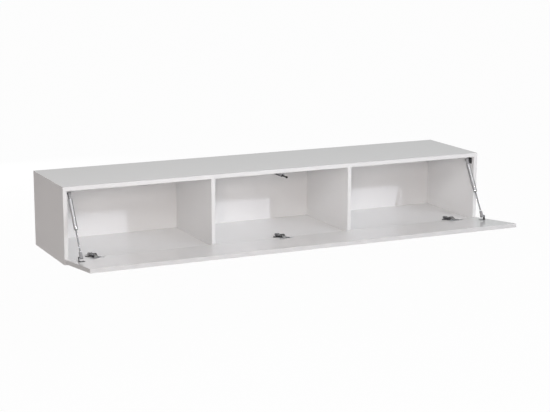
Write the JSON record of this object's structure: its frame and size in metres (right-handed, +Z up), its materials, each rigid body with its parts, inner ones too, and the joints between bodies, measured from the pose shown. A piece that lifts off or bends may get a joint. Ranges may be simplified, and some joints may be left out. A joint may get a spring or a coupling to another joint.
{
  "type": "floating media console",
  "caption": "Wall-hung media console, white gloss, open bays behind one full-width drop flap on concealed hinges and gas struts.",
  "frame": {"origin": "centre of the wall screws, on the wall face at the cabinet's rear edges, midway between its ends", "axes": "+X along the cabinet to the right as seen from in front, +Y towards the wall, +Z up; the front and the open flap are at -Y"},
  "size_m": [1.8, 0.684, 0.297],
  "materials": {
    "white_gloss_board": "high-gloss white lacquer on all faces of a particle board",
    "white_back_board": "thin hardboard with a white gloss face",
    "white_edge_band": "glued gloss edge band",
    "beech": "plain turned beech",
    "white_cap": "moulded, smooth",
    "zinc_screw": "bright zinc plate",
    "cast_zinc": "dull die cast zinc",
    "galvanised_steel": "pressed, galvanised",
    "white_plastic": "moulded, smooth",
    "dark_hinge_metal": "dark plated pressing",
    "nickel_hinge_metal": "nickel plate",
    "pin_steel": "ground steel",
    "bracket_metal": "dark grey pressing",
    "strut_tube_metal": "satin grey steel tube",
    "chrome_rod": "hard chrome, ground",
    "grey_plastic": "moulded grey plastic",
    "dark_plastic": "moulded dark plastic",
    "black_rubber": "soft black cap",
    "dark_metal": "dark coated rod"
  },
  "bodies": {
    "carcass": {"top_panel": "white_gloss_board", "bottom_panel": "white_gloss_board", "left_side_panel": "white_gloss_board", "left_divider": "white_gloss_board", "right_divider": "white_gloss_board", "right_side_panel": "white_gloss_board", "back_panel": "white_back_board", "front_edge_bands": "white_edge_band", "dowels": "beech", "cover_caps": "white_cap", "confirmat_screws": "zinc_screw", "cam_bolts": "zinc_screw", "carcass_wood_screws": "zinc_screw", "hanger_adjusting_screws": "zinc_screw", "cam_locks": "cast_zinc", "left_side_hanger": "galvanised_steel", "left_divider_hanger": "galvanised_steel", "right_divider_hanger": "galvanised_steel", "right_side_hanger": "galvanised_steel", "hanger_hooks": "galvanised_steel", "wall_plates": "galvanised_steel", "hanger_covers": "white_plastic", "left_hinge_plate": "dark_hinge_metal", "left_hinge_arm": "dark_hinge_metal", "middle_hinge_plate": "dark_hinge_metal", "middle_hinge_arm": "dark_hinge_metal", "right_hinge_plate": "dark_hinge_metal", "right_hinge_arm": "dark_hinge_metal", "hinge_arm_screws": "zinc_screw", "hinge_arm_pins": "pin_steel", "left_strut_side_mount": "bracket_metal", "left_strut_top_stud": "pin_steel", "right_strut_side_mount": "bracket_metal", "right_strut_top_stud": "pin_steel", "latch_body": "dark_plastic", "latch_holder": "grey_plastic"},
    "hinge_links": {"left_hinge_link": "nickel_hinge_metal", "middle_hinge_link": "nickel_hinge_metal", "right_hinge_link": "nickel_hinge_metal"},
    "flap": {"flap_panel": "white_gloss_board", "flap_wood_screws": "zinc_screw", "left_hinge_cup": "nickel_hinge_metal", "middle_hinge_cup": "nickel_hinge_metal", "right_hinge_cup": "nickel_hinge_metal", "hinge_cup_pins": "pin_steel", "left_strut_foot_bracket": "bracket_metal", "right_strut_foot_bracket": "bracket_metal"},
    "left_strut_cylinder": {"left_strut_tube": "strut_tube_metal", "left_strut_tube_socket": "grey_plastic"},
    "left_strut_piston": {"left_strut_foot_stud": "pin_steel", "left_strut_rod": "chrome_rod", "left_strut_rod_socket": "grey_plastic"},
    "right_strut_cylinder": {"right_strut_tube": "strut_tube_metal", "right_strut_tube_socket": "grey_plastic"},
    "right_strut_piston": {"right_strut_foot_stud": "pin_steel", "right_strut_rod": "chrome_rod", "right_strut_rod_socket": "grey_plastic"},
    "latch_plunger_set": {"latch_tip": "black_rubber", "latch_plunger": "dark_metal"}
  },
  "joints": [
    {"name": "hinge_link_swing", "type": "hinge", "parent": "carcass", "child": "hinge_links", "pos_m": [0, -0.38031, -0.202], "axis": [1, 0, 0], "range_deg": [0, 37.71]},
    {"name": "flap_swing", "type": "hinge", "parent": "hinge_links", "child": "flap", "pos_m": [0, -0.39841, -0.21203], "axis": [-1, 0, 0], "range_deg": [0, 121.71]},
    {"name": "left_strut_swing", "type": "hinge", "parent": "carcass", "child": "left_strut_cylinder", "pos_m": [-0.867, -0.3526, 0.0345], "axis": [1, 0, 0], "range_deg": [0, 25.04]},
    {"name": "left_strut_stroke", "type": "slide", "parent": "left_strut_cylinder", "child": "left_strut_piston", "axis": [0, 0.5071, 0.8619], "range_m": [0, 0.08172]},
    {"name": "right_strut_swing", "type": "hinge", "parent": "carcass", "child": "right_strut_cylinder", "pos_m": [0.867, -0.3526, 0.0345], "axis": [1, 0, 0], "range_deg": [0, 25.04]},
    {"name": "right_strut_stroke", "type": "slide", "parent": "right_strut_cylinder", "child": "right_strut_piston", "axis": [0, 0.5071, 0.8619], "range_m": [0, 0.08172]},
    {"name": "latch_stroke", "type": "slide", "parent": "carcass", "child": "latch_plunger_set", "axis": [0, 1, 0], "range_m": [0, 0.0354]}
  ],
  "couplings": [
    {"joint": "hinge_link_swing", "follows": "flap_swing", "ratio": 0.30983},
    {"joint": "left_strut_swing", "follows": "flap_swing", "ratio": 0.20575},
    {"joint": "left_strut_stroke", "follows": "flap_swing", "m_per_rad": 0.03847},
    {"joint": "right_strut_swing", "follows": "flap_swing", "ratio": 0.20575},
    {"joint": "right_strut_stroke", "follows": "flap_swing", "m_per_rad": 0.03847},
    {"joint": "latch_stroke", "follows": "flap_swing", "m_per_rad": 0.016665}
  ]
}
